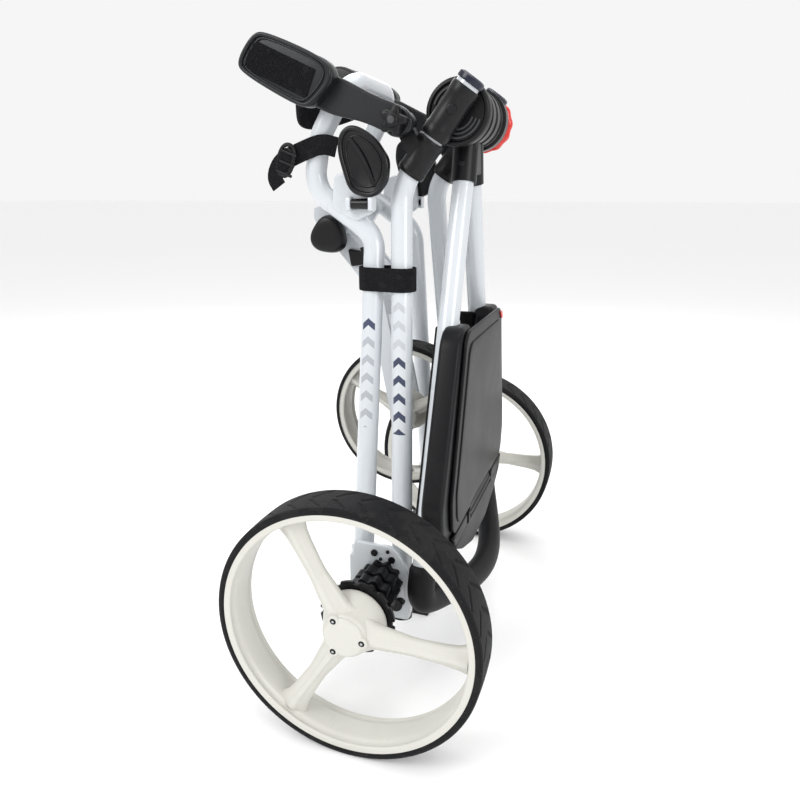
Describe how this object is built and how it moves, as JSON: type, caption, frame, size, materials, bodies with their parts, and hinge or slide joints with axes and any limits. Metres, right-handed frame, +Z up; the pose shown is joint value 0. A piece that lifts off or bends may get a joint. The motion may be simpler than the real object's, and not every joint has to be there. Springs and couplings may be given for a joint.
{
  "type": "golf push trolley",
  "caption": "Folded golf push trolley with two large spoked rear wheels, a tucked-in front wheel, bent tube frames, bag wings, a console and a loop handle.",
  "frame": {"origin": "on the floor under the middle of the trolley's length and width, folded and standing", "axes": "+Z up, the trolley faces -X, its left side is -Y; the wheel axles lie along Y"},
  "size_m": [0.336, 0.579, 0.761],
  "materials": {
    "white_paint": "gloss",
    "wheel_white": "semi-gloss",
    "tyre_rubber": "matt",
    "black_plastic": "satin",
    "gloss_black": "gloss",
    "grey_plastic": "matt",
    "console_plastic": "fine grain",
    "navy_plastic": "gloss",
    "red_plastic": "gloss",
    "grip_foam": "soft touch",
    "webbing": "woven",
    "steel": "zinc"
  },
  "bodies": {
    "lower_frame": {"lower_tube_left": "white_paint", "lower_tube_right": "white_paint", "bag_hoop": "white_paint", "cup_clevis_left": "white_paint", "cup_clevis_right": "white_paint", "axle_bracket_left": "white_paint", "axle_bracket_right": "white_paint", "pivot_bolts": "steel", "bracket_screws": "steel", "hub_carrier_left": "black_plastic", "hub_carrier_right": "black_plastic", "cross_tube": "steel", "parking_stand": "black_plastic", "fork_bracket": "white_paint", "fork_pin": "steel", "bag_strap": "webbing", "strap_buckle": "black_plastic"},
    "upper_frame": {"upper_tube_left": "white_paint", "upper_tube_right": "white_paint", "tube_feet": "black_plastic", "tube_caps": "navy_plastic", "hinge_housing_left": "black_plastic", "hinge_housing_right": "black_plastic", "hinge_bolt": "steel", "cradle_clamp_left": "black_plastic", "cradle_clamp_right": "black_plastic", "tie_strap": "webbing"},
    "lock_knob": {"lock_knob": "red_plastic"},
    "bag_cradle": {"bag_wing_left": "grey_plastic", "bag_wing_right": "grey_plastic", "cradle_belt": "webbing"},
    "star_left": {"star_knob_left": "black_plastic"},
    "star_right": {"star_knob_right": "black_plastic"},
    "handle": {"handle_hub": "black_plastic", "handle_tube_left": "white_paint", "handle_tube_right": "white_paint", "handle_grip": "grip_foam", "console_side_left": "console_plastic", "console_side_right": "console_plastic", "console_base": "console_plastic"},
    "lid": {"console_lid": "console_plastic"},
    "wheel_left": {"tyre_left": "tyre_rubber", "rim_left": "wheel_white", "spokes_left": "wheel_white", "hub_cap_left": "wheel_white", "brake_ring_left": "black_plastic"},
    "wheel_right": {"tyre_right": "tyre_rubber", "rim_right": "wheel_white", "spokes_right": "wheel_white", "hub_cap_right": "wheel_white", "brake_ring_right": "black_plastic"},
    "fork": {"front_fork": "white_paint", "front_axle": "steel"},
    "fork_lock": {"fork_knob": "black_plastic"},
    "front_wheel": {"front_tyre": "tyre_rubber", "front_rim": "wheel_white", "front_spokes": "wheel_white"},
    "cup_left": {"bag_cup_left": "gloss_black"},
    "cup_right": {"bag_cup_right": "gloss_black"},
    "pedal": {"brake_pedal": "black_plastic"}
  },
  "joints": [
    {"name": "frame_fold", "type": "hinge", "parent": "lower_frame", "child": "upper_frame", "pos_m": [0.0355, 0, 0.12], "axis": [0, 1, 0], "range_deg": [0, 90], "deforming": ["tie_strap"]},
    {"name": "handle_fold", "type": "hinge", "parent": "upper_frame", "child": "handle", "pos_m": [0.069, 0, 0.68], "axis": [0, -1, 0], "range_deg": [0, 145]},
    {"name": "lock_knob_turn", "type": "hinge", "parent": "upper_frame", "child": "lock_knob", "pos_m": [0.069, 0.094, 0.68], "axis": [0, 1, 0], "range_deg": [0, 180]},
    {"name": "cradle_tilt", "type": "hinge", "parent": "upper_frame", "child": "bag_cradle", "pos_m": [0.013, 0, 0.668], "axis": [0, 1, 0], "range_deg": [0, 40]},
    {"name": "star_turn_left", "type": "hinge", "parent": "upper_frame", "child": "star_left", "pos_m": [0.013, -0.11, 0.668], "axis": [0, -1, 0], "range_deg": [0, 180]},
    {"name": "star_turn_right", "type": "hinge", "parent": "upper_frame", "child": "star_right", "pos_m": [0.013, 0.11, 0.668], "axis": [0, 1, 0], "range_deg": [0, 180]},
    {"name": "lid_open", "type": "hinge", "parent": "handle", "child": "lid", "pos_m": [0.096, 0, 0.2], "axis": [0, 1, 0], "range_deg": [0, 100]},
    {"name": "fork_fold", "type": "hinge", "parent": "lower_frame", "child": "fork", "pos_m": [-0.092, 0, 0.545], "axis": [0, 1, 0], "range_deg": [0, 115]},
    {"name": "fork_knob_turn", "type": "hinge", "parent": "lower_frame", "child": "fork_lock", "pos_m": [-0.092, -0.073, 0.545], "axis": [0, -1, 0], "range_deg": [0, 180]},
    {"name": "front_wheel_spin", "type": "hinge", "parent": "fork", "child": "front_wheel", "pos_m": [-0.007, 0, 0.308], "axis": [0, 1, 0], "continuous": true},
    {"name": "wheel_left_spin", "type": "hinge", "parent": "lower_frame", "child": "wheel_left", "pos_m": [0.018, -0.265, 0.15], "axis": [0, 1, 0], "continuous": true},
    {"name": "wheel_right_spin", "type": "hinge", "parent": "lower_frame", "child": "wheel_right", "pos_m": [0.018, 0.265, 0.15], "axis": [0, 1, 0], "continuous": true},
    {"name": "cup_tilt_left", "type": "hinge", "parent": "lower_frame", "child": "cup_left", "pos_m": [-0.032, -0.094, 0.583], "axis": [1, 0, 0], "range_deg": [0, 60]},
    {"name": "cup_tilt_right", "type": "hinge", "parent": "lower_frame", "child": "cup_right", "pos_m": [-0.032, 0.094, 0.583], "axis": [-1, 0, 0], "range_deg": [0, 60]},
    {"name": "pedal_press", "type": "hinge", "parent": "lower_frame", "child": "pedal", "pos_m": [0.006, 0.064, 0.142], "axis": [0, 1, 0], "range_deg": [0, 18]}
  ]
}
